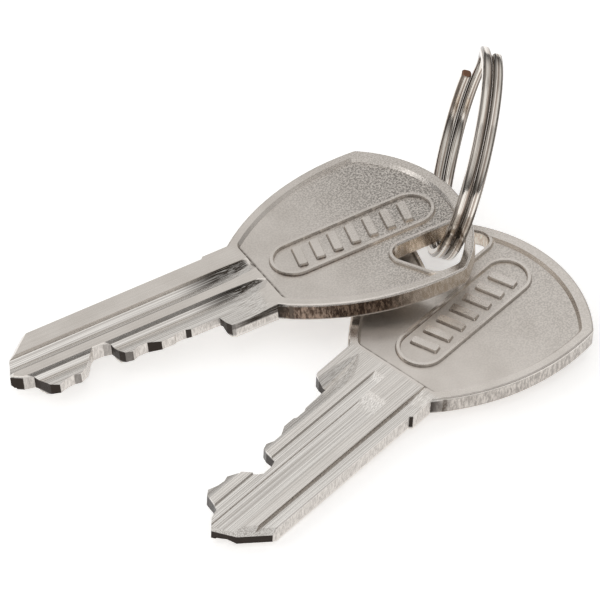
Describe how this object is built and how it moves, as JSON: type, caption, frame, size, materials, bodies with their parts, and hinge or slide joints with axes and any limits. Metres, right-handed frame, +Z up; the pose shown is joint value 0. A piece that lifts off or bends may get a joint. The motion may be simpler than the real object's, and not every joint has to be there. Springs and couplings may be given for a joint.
{
  "type": "door keys on a split ring",
  "caption": "Flat metal lock keys with a domed-end bow, milled grooves and cut teeth, threaded on a steel split ring and lying on a table.",
  "frame": {"origin": "on the table under the middle of the set's bounding box", "axes": "+Z up from the table; -Y towards the camera side, where the blades point; +X to the side where the bows and the ring lie"},
  "size_m": [0.0572, 0.0572, 0.0216],
  "materials": {
    "plated_key": "nickel plated, matt in the bow recess, bright on rim and blade",
    "ring_steel": "polished"
  },
  "bodies": {
    "lower_key": {"lower_key": "plated_key"},
    "ring": {"split_ring": "ring_steel"},
    "upper_key": {"upper_key": "plated_key"}
  },
  "joints": [
    {"name": "ring_turn", "type": "hinge", "parent": "lower_key", "child": "ring", "pos_m": [0.01532, 0.01767, 0.01078], "axis": [0.9762, -0.0221, -0.2157], "continuous": true},
    {"name": "upper_key_lift", "type": "hinge", "parent": "lower_key", "child": "upper_key", "pos_m": [0.01532, 0.01767, 0.01078], "axis": [-0.9762, 0.0221, 0.2157], "range_deg": [0, 100]}
  ]
}
